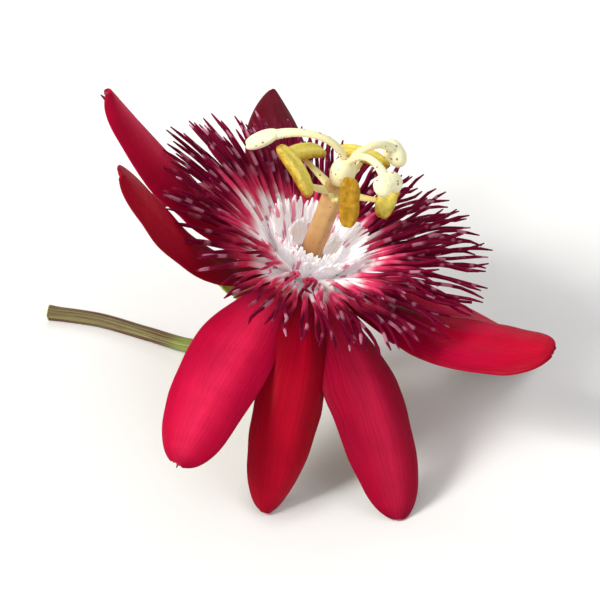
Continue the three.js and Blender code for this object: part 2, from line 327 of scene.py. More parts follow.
def flute(body: Body, girth: Callable[[float, Vector], float]) -> None:
    """Widens or narrows a body round the bloom's axis.

    Args:
        body: The body.
        girth: The factor for each point, from its angle round the axis, in radians, and its place.
    """
    for vertex in body.mesh.verts:
        factor = girth(math.atan2(vertex.co.y, vertex.co.x), vertex.co)
        vertex.co.x *= factor
        vertex.co.y *= factor


class Board:
    """Places shader nodes in one tree and joins them."""

    def __init__(self, tree: bpy.types.NodeTree) -> None:
        """Takes the tree to build in."""
        self.tree = tree

    def feed(self, socket: Socket, value: object) -> None:
        """Joins a socket to another one, or gives it a plain value."""
        if isinstance(value, Socket):
            self.tree.links.new(value, socket)
        else:
            socket.default_value = value

    def node(self, kind: str, inputs: dict[object, object], **options: object) -> bpy.types.Node:
        """Places a node.

        Args:
            kind: Its type, without the word ShaderNode.
            inputs: Its inputs by name or number, each with a value or the socket that feeds it.
            **options: Its own settings.

        Returns:
            The node.
        """
        made = self.tree.nodes.new("ShaderNode" + kind)
        for name, value in options.items():
            setattr(made, name, value)
        for key, value in inputs.items():
            self.feed(made.inputs[key], value)
        return made

    def maths(self, operation: str, *values: object) -> Socket:
        """Works out one number from others."""
        return self.node("Math", dict(enumerate(values)), operation=operation).outputs[0]

    def times(self, first: object, second: object) -> Socket:
        """Multiplies two numbers."""
        return self.maths("MULTIPLY", first, second)

    def slope(
        self, value: object, low: object, high: object, start: float = 0.0, end: float = 1.0,
    ) -> Socket:
        """Maps a value between low and high smoothly to start and end."""
        inputs = {0: value, 1: low, 2: high, 3: start, 4: end}
        return self.node("MapRange", inputs, interpolation_type="SMOOTHSTEP").outputs[0]

    def blend(self, share: object, first: object, second: object) -> Socket:
        """Mixes two colours."""
        return self.node("Mix", {0: share, 6: first, 7: second}, data_type="RGBA").outputs[2]

    def coats(self, shade: object, *coats: tuple[object, str]) -> Socket:
        """Lays coats of colour over a shade, each by its own share."""
        for share, code in coats:
            shade = self.blend(share, shade, tint(code))
        return shade

    def marked(self, mark: Mark) -> Socket:
        """Reads one of the mesh's marks."""
        return self.node("Attribute", {}, attribute_name=mark.value).outputs["Fac"]

    def place(self) -> Socket:
        """Reads the place on the object."""
        return self.node("TexCoord", {}).outputs["Object"]

    def cloud(self, vector: object, scale: object, detail: float = 3.0) -> Socket:
        """Gives a soft noise between 0 and 1."""
        inputs = {"Vector": vector, "Scale": scale, "Detail": detail}
        return self.node("TexNoise", inputs).outputs[0]

    def effect(self, group: bpy.types.NodeTree, inputs: dict[str, object]) -> bpy.types.Node:
        """Places one of the shared effects."""
        return self.node("Group", inputs, node_tree=group)


def new_group(
    name: str, inputs: dict[str, str], outputs: dict[str, str],
) -> tuple[Board, bpy.types.Node, bpy.types.Node]:
    """Starts a node group.

    Args:
        name: The group's name.
        inputs: Its inputs, by name, with the type of each.
        outputs: Its outputs, in the same way.

    Returns:
        The board to build on, the node that gives the inputs and the node that takes the outputs.
    """
    group = bpy.data.node_groups.new(name, "ShaderNodeTree")
    for side, sockets in (("INPUT", inputs), ("OUTPUT", outputs)):
        for label, kind in sockets.items():
            group.interface.new_socket(label, in_out=side, socket_type="NodeSocket" + kind)
    return Board(group), group.nodes.new("NodeGroupInput"), group.nodes.new("NodeGroupOutput")


class Effects:
    """The effects that several finishes share."""

    VEIN_STRETCH = 3.0
    VEIN_WAVER = 0.22
    STREAK_RATE = 5.0
    LINE_WIDTH = 0.35
    BAND_SPREAD = 61.0
    BAND_EDGE = 0.13

    def __init__(self) -> None:
        """Builds each effect once."""
        self.veins = self.build_veins()
        self.specks = self.build_specks()
        self.bands = self.build_bands()
        self.grain = self.build_grain()

    def build_veins(self) -> bpy.types.NodeTree:
        """Builds streaks and fine lines that run along a blade and waver a little."""
        board, given, taken = new_group(
            "veins", {"Along": "Float", "Across": "Float", "Count": "Float", "Tone": "Float"},
            {"Streak": "Float", "Line": "Float"},
        )
        along, across, count, tone = given.outputs[:4]
        stretch = board.times(along, self.VEIN_STRETCH)
        seat = board.node("CombineXYZ", {0: across, 1: stretch, 2: tone}).outputs[0]
        waver = board.times(board.cloud(seat, 2.0), self.VEIN_WAVER)
        lane = board.times(board.maths("ADD", across, waver), count)
        slow = board.times(along, self.STREAK_RATE)
        strip = board.node("CombineXYZ", {0: lane, 1: slow, 2: tone}).outputs[0]
        streak = board.slope(board.cloud(strip, 0.7, 2.0), 0.34, 0.66)
        crest = board.maths("ABSOLUTE", board.maths("SINE", board.times(lane, math.pi / 2)))
        board.feed(taken.inputs["Streak"], streak)
        board.feed(taken.inputs["Line"], board.slope(crest, 0.0, self.LINE_WIDTH, 1.0, 0.0))
        return board.tree

    def build_specks(self) -> bpy.types.NodeTree:
        """Builds small round specks, some larger than others and some missing."""
        board, given, taken = new_group(
            "specks", {"Vector": "Vector", "Scale": "Float", "Size": "Float"}, {"Mask": "Float"}
        )
        cells = board.node("TexVoronoi", {"Vector": given.outputs[0], "Scale": given.outputs[1]})
        chance = board.node("SeparateColor", {0: cells.outputs["Color"]}).outputs[0]
        reach = board.times(given.outputs[2], board.slope(chance, 0.25, 1.0))
        gap = board.maths("SUBTRACT", reach, cells.outputs["Distance"])
        board.feed(taken.inputs["Mask"], board.slope(gap, -0.04, 0.06))
        return board.tree

    def build_bands(self) -> bpy.types.NodeTree:
        """Builds uneven bands across a thread, different on each thread."""
        board, given, taken = new_group(
            "bands", {"Along": "Float", "Tone": "Float", "Rate": "Float", "Cover": "Float"},
            {"Mask": "Float"},
        )
        along, tone, rate, cover = given.outputs[:4]
        shifted = board.maths("MULTIPLY_ADD", tone, self.BAND_SPREAD, board.times(along, rate))
        inputs = {"W": shifted, "Scale": 1.0, "Detail": 1.0}
        strip = board.node("TexNoise", inputs, noise_dimensions="1D").outputs[0]
        low = board.maths("SUBTRACT", 0.62, board.times(cover, 0.3))
        high = board.maths("ADD", low, self.BAND_EDGE)
        board.feed(taken.inputs["Mask"], board.slope(strip, low, high))
        return board.tree

    def build_grain(self) -> bpy.types.NodeTree:
        """Builds the fine cell grain of a petal or a stem."""
        board, given, taken = new_group("grain", {"Vector": "Vector", "Scale": "Float"}, {"Height": "Float"})
        board.feed(taken.inputs["Height"], board.cloud(given.outputs[0], given.outputs[1], 4.0))
        return board.tree


EFFECTS = Effects()


@dataclass(frozen=True)
class Finish:
    """What every finish has: its name, its roughness, its relief, and how light passes under and through it.

    Its emission, the light that it gives off of itself, is painted light: it brightens pale tissue where that
    lies in shade, and stands in for the light that comes through thin pale tissue from behind. The grain is
    how many grains there are to a metre, about, and the relief is their height in millimetres.
    """

    BLEED_DEPTH = 0.8
    ROUGHER_LOW = 0.08
    SMOOTHER_HIGH = 0.05

    name: str
    roughness: float = 0.45
    softness: float = 0.1
    gloss: float = 0.3
    bleed: tuple[float, float, float] = (1.0, 0.45, 0.4)
    painted_glow: float = 0.0
    grain: float = 1800.0
    relief: float = 0.08

    def lay_veins(self, board: Board, count: float, tone: object) -> bpy.types.Node:
        """Places the veins that run along the piece."""
        along = board.marked(Mark.ALONG)
        across = board.marked(Mark.ACROSS)
        inputs = {"Along": along, "Across": across, "Count": count, "Tone": tone}
        return board.effect(EFFECTS.veins, inputs)

    def lay_specks(self, board: Board, scale: float, size: float) -> Socket:
        """Scatters specks."""
        inputs = {"Vector": board.place(), "Scale": scale, "Size": size}
        return board.effect(EFFECTS.specks, inputs).outputs[0]

    def lay_grain(self, board: Board) -> Socket:
        """Lays the cell grain."""
        return board.effect(EFFECTS.grain, {"Vector": board.place(), "Scale": self.grain}).outputs[0]

    def colour(self, board: Board) -> Socket:
        """Gives the colour, which each kind of finish makes in its own way."""
        raise NotImplementedError(self.name)

    def height(self, board: Board) -> Socket:
        """Gives the relief, between 0 and 1, which is the grain alone unless a finish adds to it."""
        return self.lay_grain(board)

    def material(self) -> Material:
        """Makes the material."""
        material = bpy.data.materials.new(self.name)
        material.use_nodes = True
        board = Board(material.node_tree)
        shader = material.node_tree.nodes["Principled BSDF"]
        skin = self.colour(board)
        raised = self.height(board)
        bump = board.node("Bump", {"Height": raised, "Strength": 1.0, "Distance": self.relief * MM})
        low = self.roughness + self.ROUGHER_LOW
        high = self.roughness - self.SMOOTHER_HIGH
        settings = {
            "Base Color": skin,
            # Emission of the finish's own colour: painted light, which lifts pale parts out of their shade.
            "Emission Color": skin,
            "Emission Strength": self.painted_glow,
            "Normal": bump.outputs[0],
            "Roughness": board.slope(raised, 0.0, 1.0, low, high),
            "Subsurface Weight": self.softness,
            "Subsurface Radius": self.bleed,
            "Subsurface Scale": self.BLEED_DEPTH * MM,
            "Specular IOR Level": self.gloss,
        }
        for label, value in settings.items():
            board.feed(shader.inputs[label], value)
        return material


@dataclass(frozen=True)
class BladeFinish(Finish):
    """The skin of one face of a tepal or a bract, with veins that run along it; on a tepal's inner face it
    carries a painted highlight and painted shade.
    """

    # The claw colour runs from the root to claw_end: on the inner faces it is the tepals' own dark claw and
    # painted shadow of the corona together.
    claw: str = "5c0214"
    body: str = "a0001a"
    tip: str = "ba0024"
    # On the inner faces of the tepals the rim colour is painted shade along the edges, and the keel colour is
    # a painted highlight down the middle.
    rim: str = "84001a"
    keel: str = "c8082e"
    blush: str = "bc003a"
    vein: str = "80001a"
    # The dark colour is painted shade, laid over a whole tepal as deep as its depth mark.
    dark: str = "4a0010"
    claw_end: float = 0.48
    veins: float = 26.0
    vein_share: float = 0.16
    line_share: float = 0.06
    keel_share: float = 0.5
    keel_width: float = 0.6
    rim_share: float = 0.45
    patch_scale: float = 160.0
    grain: float = 1500.0
    relief: float = 0.05

    def veins_of(self, board: Board) -> bpy.types.Node:
        """Places the blade's own veins."""
        return self.lay_veins(board, self.veins, board.marked(Mark.TONE))

    def colour(self, board: Board) -> Socket:
        """Colours the face from its claw to its tip, and from its keel to its rim."""
        along = board.marked(Mark.ALONG)
        aside = board.maths("ABSOLUTE", board.marked(Mark.ACROSS))
        veins = self.veins_of(board)
        # Tepals with a low tone are blended towards the blush colour: painted light, the pinker look of the
        # tepals that catch the most light.
        fresh = board.slope(board.marked(Mark.TONE), 0.0, 0.7, 0.7, 0.0)
        body = board.blend(fresh, tint(self.body), tint(self.blush))
        keel = board.slope(aside, 0.0, self.keel_width, 1.0, 0.0)
        return board.coats(
            # The claw: on an inner face, its own dark and painted shadow of the corona.
            board.blend(board.slope(along, 0.05, self.claw_end), tint(self.claw), body),
            (board.slope(along, 0.55, 1.0, 0.0, 0.8), self.tip),
            # On a tepal's inner face this is a painted highlight down the middle; on the outer faces it is
            # their own keel colour.
            (board.times(keel, self.keel_share), self.keel),
            (board.times(veins.outputs["Streak"], self.vein_share), self.vein),
            (board.times(veins.outputs["Line"], self.line_share), self.vein),
            # On a tepal's inner face this is painted shade along the edges; on the sepals' outer faces it is
            # their red margin.
            (board.times(board.slope(aside, 0.6, 1.0), self.rim_share), self.rim),
            (board.slope(along, 0.92, 1.0, 0.0, 0.6), self.rim),
            (board.slope(board.cloud(board.place(), self.patch_scale), 0.35, 0.7, 0.0, 0.25), self.rim),
            # Painted shade over the whole tepal, as deep as its depth mark.
            (board.marked(Mark.DEPTH), self.dark),
        )

    def height(self, board: Board) -> Socket:
        """Raises the veins a little over the grain."""
        streak = board.times(self.veins_of(board).outputs["Streak"], 0.7)
        return board.maths("MULTIPLY_ADD", self.lay_grain(board), 0.3, streak)


@dataclass(frozen=True)
class ThreadFinish(Finish):
    """The skin of the corona's threads: pale at the root, then blushed, then dark with pale flecks."""

    pale: str = "fffafc"
    blush: str = "d83a66"
    dark: str = "6e022a"
    fleck: str = "dc96b0"
    pale_end: float = 0.18
    dark_start: float = 0.29
    fleck_rate: float = 9.0
    fleck_cover: float = 0.15
    fleck_share: float = 0.55
    stain_rate: float = 11.0
    stain_cover: float = 0.08
    stain_share: float = 0.8
    grain: float = 2600.0

    @staticmethod
    def lay_bands(board: Board, tone: object, rate: float, cover: float) -> Socket:
        """Lays uneven bands across the threads."""
        inputs = {"Along": board.marked(Mark.ALONG), "Tone": tone, "Rate": rate, "Cover": cover}
        return board.effect(EFFECTS.bands, inputs).outputs[0]

    def colour(self, board: Board) -> Socket:
        """Colours a thread from its root to its tip."""
        tone = board.marked(Mark.TONE)
        shift = board.maths("MULTIPLY_ADD", tone, -0.14, 0.07)
        run = board.maths("ADD", board.marked(Mark.ALONG), shift)
        warm = board.slope(run, self.pale_end - 0.04, self.pale_end + 0.05)
        deep = board.slope(run, self.dark_start - 0.06, self.dark_start + 0.06)
        flecks = board.times(self.lay_bands(board, tone, self.fleck_rate, self.fleck_cover), deep)
        other_tone = board.maths("ADD", tone, 0.37)
        stains = self.lay_bands(board, other_tone, self.stain_rate, self.stain_cover)
        early = board.times(stains, board.maths("SUBTRACT", 1.0, warm))
        return board.coats(
            tint(self.pale),
            (warm, self.blush),
            (deep, self.dark),
            (board.times(flecks, self.fleck_share), self.fleck),
            (board.times(early, self.stain_share), self.blush),
        )


@dataclass(frozen=True)
class SpeckledFinish(Finish):
    """A waxy skin that changes colour along its piece and carries small dark specks."""

    low: str = "e9c49c"
    high: str = "f1e7a8"
    speck: str = "7d1236"
    speck_scale: float = 1100.0
    speck_size: float = 0.3
    speck_share: float = 0.8
    patch_scale: float = 420.0

    def colour(self, board: Board) -> Socket:
        """Colours the piece and lays the specks."""
        specks = self.lay_specks(board, self.speck_scale, self.speck_size)
        return board.coats(
            tint(self.low),
            (board.slope(board.marked(Mark.ALONG), 0.15, 0.85), self.high),
            (board.slope(board.cloud(board.place(), self.patch_scale), 0.3, 0.75, 0.0, 0.45), self.low),
            (board.times(specks, self.speck_share), self.speck),
        )


@dataclass(frozen=True)
class AntherFinish(Finish):
    """The skin of an anther: pale yellow on its back, with ochre pollen on its sides and its face."""

    pollen: str = "c99d32"
    shade: str = "a67a1c"
    back: str = "ecd868"
    patch_scale: float = 900.0
    pollen_scale: float = 4200.0
    pollen_size: float = 0.6
    ragged_by: float = 0.14
    grain: float = 5200.0
    relief: float = 0.25

    def colour(self, board: Board) -> Socket:
        """Colours the face with pollen and the back pale, with a ragged edge between them."""
        patch = board.slope(board.cloud(board.place(), self.patch_scale), 0.3, 0.7)
        ragged = board.maths("MULTIPLY_ADD", patch, self.ragged_by, board.marked(Mark.DEPTH))
        grains = self.lay_specks(board, self.pollen_scale, self.pollen_size)
        return board.coats(
            tint(self.shade),
            (patch, self.pollen),
            (board.slope(ragged, 0.5, 0.95), self.back),
            (board.times(grains, 0.25), self.pollen),
        )

    def height(self, board: Board) -> Socket:
        """Raises the grains of pollen."""
        grains = self.lay_specks(board, self.pollen_scale, self.pollen_size)
        return board.maths("MULTIPLY_ADD", grains, 0.6, board.times(self.lay_grain(board), 0.4))


@dataclass(frozen=True)
class StemFinish(Finish):
    """A ribbed stem that turns from one colour to another along its length."""

    young: str = "7f9a34"
    old: str = "5a2a22"
    fresh: str = "b9c77a"
    ribs: float = 9.0
    turning: float = 0.55
    drift_scale: float = 120.0
    grain: float = 1400.0
    relief: float = 0.12

    def colour(self, board: Board) -> Socket:
        """Colours the stem with long uneven streaks."""
        streak = self.lay_veins(board, self.ribs, 0.3).outputs["Streak"]
        cloud = board.cloud(board.place(), self.drift_scale)
        drift = board.maths("MULTIPLY_ADD", cloud, 0.5, board.marked(Mark.ALONG))
        return board.coats(
            tint(self.young),
            (board.slope(drift, self.turning - 0.1, self.turning + 0.45), self.old),
            (board.times(streak, 0.35), self.fresh),
        )

    def height(self, board: Board) -> Socket:
        """Raises fine ribs over the grain."""
        ribs = board.times(self.lay_veins(board, self.ribs * 2, 0.6).outputs["Streak"], 0.6)
        return board.maths("MULTIPLY_ADD", self.lay_grain(board), 0.4, ribs)


@dataclass(frozen=True)
class PlainFinish(Finish):
    """The pale surface under the flower, with the faintest grain."""

    shade: str = "f6f6f5"
    other: str = "f2f2f0"
    cloud_scale: float = 30.0
    grain: float = 900.0
    relief: float = 0.02

    def colour(self, board: Board) -> Socket:
        """Mottles the surface very lightly."""
        return board.coats(tint(self.shade), (board.cloud(board.place(), self.cloud_scale), self.other))


class Whorl(Enum):
    """The two whorls of tepals."""

    PETAL = "petal"
    SEPAL = "sepal"


@dataclass(frozen=True)
class BladeForm:
    """The outline and thickness of a blade.

    At its root it is base_share of its width, and it reaches its full width at the share spread of its
    length. The tip_power rounds its tip. Its height is that of its root over the bloom's origin. Lobes and
    their teeth break its edge where there are any, and ruffle is how uneven its surface is.
    """

    length: float
    width: float
    base_share: float
    spread: float
    tip_power: float
    thickness: float
    height: float
    lobes: int = 0
    ruffle: float = 0.3


@dataclass(frozen=True)
class BladePose:
    """How one blade stands.

    The turn is its place round the bloom's axis, and the bends are its angles above the level near its root,
    its middle and its tip. Roll curves it across, and twist turns its tip about its own length. Sweep moves
    its tip to the side, depth darkens it with painted shade for how far it lies in shade, with some of its
    own darkness in it, own_spread takes the place of its form's spread, taper sharpens its outline, and root
    is its root's distance from the axis.
    """

    name: str
    turn: float
    bends: tuple[float, float, float]
    roll: float
    twist: float
    sweep: float
    # Painted shade over the whole tepal, with some of its own darkness in it.
    depth: float = 0.0
    own_spread: float = 0.0
    taper: float = 0.5
    root: float = CUP_RADIUS + SEAT_GAP


SEPAL_FORM = BladeForm(44, 15.8, 0.5, 0.45, 5.5, 0.9, -1.55)
PETAL_FORM = BladeForm(44, 14.0, 0.42, 0.55, 6, 0.8, -0.25)
BRACT_FORM = BladeForm(16, 8.8, 0.22, 0.5, 2.6, 0.8, -10.4, lobes=5, ruffle=0.25)


class Blade:
    """The surface of a tepal or a bract, and the closed body made round it."""

    SPINE_STEPS = 48
    LAST = 0.996
    TIP_CROWDING = 1.35
    TEETH_TO_LOBE = 3
    TOOTH_DEPTH = 0.07
    EDGE_UNEVENNESS = 0.035
    RUFFLES = 17
    RUFFLE_SHARE = 0.6
    DENT_SHARE = 1.1
    CHANNEL_DEPTH = 0.28
    RIB_HEIGHT = 0.35
    EDGE_THINNESS = 0.5
    ROOT_ROLL = 0.35

    def __init__(self, form: BladeForm, pose: BladePose, seed: float) -> None:
        """Works out the spine: its distance from the axis, its height and its angle at each step."""
        self.form = form
        self.pose = pose
        self.seed = seed
        self.spine = [(pose.root, form.height)]
        stride = form.length / self.SPINE_STEPS
        for k in range(self.SPINE_STEPS):
            angle = self.angle((k + 0.5) / self.SPINE_STEPS)
            out, up = self.spine[-1]
            self.spine.append((out + stride * math.cos(angle), up + stride * math.sin(angle)))

    def angle(self, s: float) -> float:
        """Gives the spine's angle above the level at a share of its length."""
        first, middle, last = self.pose.bends
        return math.radians((1 - s) ** 2 * first + 2 * s * (1 - s) * middle + s * s * last)

    def half_width(self, s: float, v: float) -> float:
        """Gives the half width, with the small unevenness of a real edge."""
        form = self.form
        spread = mix(form.base_share, 1, smooth(s, 0, self.pose.own_spread or form.spread))
        half = form.width / 2 * spread * max(1 - s**form.tip_power, 0) ** self.pose.taper
        if form.lobes:
            saw = (s * form.lobes * self.TEETH_TO_LOBE) % 1.0
            return half * (1 + self.TOOTH_DEPTH * (math.cos(2 * math.pi * form.lobes * s) + saw - 0.5))
        side = 5.0 if v > 0 else -5.0
        return half * (1 + self.EDGE_UNEVENNESS * abs(v) * noise.noise(Vector((s * 9, side, self.seed))))

    def lift(self, s: float, v: float) -> float:
        """Gives the surface its channel, its ruffled edge and its gentle unevenness."""
        phase = self.seed * 3 + (1.3 if v > 0 else 0)
        wave = math.sin(s * self.RUFFLES + phase) * abs(v) ** 3 * smooth(s, 0.2, 0.6)
        dents = noise.noise(Vector((s * 5, v * 1.6, self.seed))) * smooth(s, 0.1, 0.5)
        channel = bell(v, 0, 0.2) * smooth(s, 0.05, 0.3) * (1 - smooth(s, 0.75, 1))
        uneven = self.RUFFLE_SHARE * wave + self.DENT_SHARE * dents
        return self.form.ruffle * uneven - self.CHANNEL_DEPTH * channel

    def point(self, s: float, v: float) -> Vector:
        """Gives the point of the middle surface at a share along it and a place across it, -1 to 1."""
        pose = self.pose
        place = min(max(s, 0), 1) * self.SPINE_STEPS
        k = min(int(place), self.SPINE_STEPS - 1)
        out, up = (mix(a, b, place - k) for a, b in zip(self.spine[k], self.spine[k + 1]))
        half = self.half_width(min(s, 1), v)
        roll = math.radians(pose.roll) * mix(self.ROOT_ROLL, 1, s)
        turn = math.radians(pose.twist) * s
        flat_side = half * math.sin(roll * v) / roll
        flat_lift = -half * (1 - math.cos(roll * v)) / roll + self.lift(s, v)
        side = flat_side * math.cos(turn) - flat_lift * math.sin(turn) + pose.sweep * s * s
        lift = flat_side * math.sin(turn) + flat_lift * math.cos(turn)
        angle = self.angle(s)
        return Vector((out - lift * math.sin(angle), side, up + lift * math.cos(angle)))

    def normal(self, s: float, v: float) -> Vector:
        """Gives the direction out of the inner face."""
        step = 2e-3
        inner = v * 0.98
        along = self.point(s + step, inner) - self.point(max(s - step, 0), inner)
        across = self.point(s, min(v + step, 1)) - self.point(s, max(v - step, -1))
        return along.cross(across).normalized()

    def half_thickness(self, s: float, v: float, inner: bool) -> float:
        """Gives the half thickness, with a raised rib down the middle of the outer face."""
        half = self.form.thickness / 2 * mix(1, self.EDGE_THINNESS, v * v)
        if inner:
            return half
        return half + self.RIB_HEIGHT * bell(v, 0, 0.1) * smooth(s, 0.02, 0.15) * (1 - smooth(s, 0.8, 1))

    def body(self, rows: int, columns: int, tone: float) -> Body:
        """Builds the blade: a grid on its surface, given its thickness.

        Args:
            rows: Faces along it.
            columns: Faces across it.
            tone: The blade's own mark.

        Returns:
            The closed body, with inner faces numbered 0 and outer faces 1.
        """
        body = Body()
        mesh = body.mesh
        bmesh.ops.create_grid(mesh, x_segments=columns, y_segments=rows, size=1.0)
        for vertex in mesh.verts:
            along = self.LAST * (1 - ((1 - vertex.co.y) / 2) ** self.TIP_CROWDING)
            # Each point carries the tepal's depth: painted shade over the whole tepal.
            body.mark(vertex, along, vertex.co.x, tone, self.pose.depth)
        inner = set(mesh.verts)
        bmesh.ops.solidify(mesh, geom=mesh.faces[:], thickness=0.1)
        for vertex in mesh.verts:
            s = vertex[body.layers[Mark.ALONG]]
            v = vertex[body.layers[Mark.ACROSS]]
            is_inner = vertex in inner
            half = self.half_thickness(s, v, is_inner)
            vertex.co = self.point(s, v) + self.normal(s, v) * (half if is_inner else -half)
        for face in mesh.faces:
            face.material_index = 0 if any(vertex in inner for vertex in face.verts) else 1
        bmesh.ops.recalc_face_normals(mesh, faces=mesh.faces)
        return body


@dataclass
class Tepals:
    """The ten tepals: five sepals with a horn behind each tip, and five petals inside them."""

    poses: tuple[BladePose, ...] = (
        # The last plain number of each pose is its depth: painted shade, deepest on the tepals that lie in
        # shade at the back.
        BladePose("petal_1", -32.5, (-1, 28, 34), 24, 24, -1, 0.05),
        BladePose("sepal_1", -63.9, (2, -21, -54), 50, 11, 2.9, 0.35),
        BladePose("petal_2", -90.6, (8, -50, -77), 66, -6, 1.2, 0.05),
        BladePose("sepal_2", -118.6, (2, -22, -29), 40, 3, 5.7, 0.0),
        BladePose("petal_3", -148, (4, 60, 34), 40, -26, -5.5, 0.2),
        BladePose("sepal_3", 171.5, (28, 39, 42), 66, 12, 4, 0.15),
        BladePose("petal_4", 127, (4, -34, -66), 42, 6, -3, 0.5, own_spread=0.6),
        BladePose("sepal_4", 98, (8, 8, -12), 75, 4, -1, 0.9, taper=0.85),
        BladePose("petal_5", 58, (6, -24, -52), 44, -6, 1.5, 0.4),
        BladePose("sepal_5", 13, (2, -31, -20), 46, -24, 0.5, 0.3),
    )
    rows: int = 58
    columns: int = 22
    horn_from: float = 0.86
    horn_length: float = 4.2
    horn_radius: float = 0.7
    horn_route: tuple[tuple[float, float], ...] = ((-0.6, 0.7), (0.35, 0.95), (1.5, 1.6))

    def add_horn(self, body: Body, blade: Blade, tone: float) -> None:
        """Adds the small green horn that runs on past a sepal's tip."""
        root = blade.point(self.horn_from, 0)
        before, after = (blade.point(self.horn_from + step, 0) for step in (-0.05, 0.05))
        along = (after - before).normalized()
        outward = -blade.normal(self.horn_from, 0)
        points = [
            root + along * (share * self.horn_length) + outward * drop for share, drop in self.horn_route
        ]

        def size(share: float) -> tuple[float, float]:
            """Tapers the horn to a blunt point."""
            radius = self.horn_radius * math.sqrt(max(1 - share**1.6, 0.02))
            return (radius, radius)

        first = len(body.mesh.faces)
        Strands(body, 8, 8).add(lambda share: bezier(points, share), size, tone, along.cross(outward))
        body.mesh.faces.ensure_lookup_table()
        for face in body.mesh.faces[first:]:
            face.material_index = 1

    def build(self, skins: Skins) -> None:
        """Builds and dresses the tepals."""
        for number, pose in enumerate(self.poses):
            whorl = Whorl(pose.name.split("_")[0])
            form = SEPAL_FORM if whorl is Whorl.SEPAL else PETAL_FORM
            blade = Blade(form, pose, seed=2.7 * number + 1)
            tone = (number * 0.37) % 1.0
            body = blade.body(self.rows, self.columns, tone)
            if whorl is Whorl.SEPAL:
                self.add_horn(body, blade, tone)
            faces = [skins[f"{whorl.value}_inner"], skins[f"{whorl.value}_outer"]]
            placing = PLACING.bloom(pose.turn)
            body.finish(f"{pose.name}_blade", faces, f"{whorl.value}_red", [pose.name], placing, 1)


@dataclass(frozen=True)
class ThreadRow:
    """One row of the corona.

    The threads root at one distance from the axis, at the height foot, and reach and rise from there with a
    bow. They taper from the radius thick to the radius tip, and wave swings them to the side.
    """

    count: int
    root: float
    foot: float
    reach: float
    rise: float
    bow: float
    thick: float
    tip: float
    wave: float
    seed: int


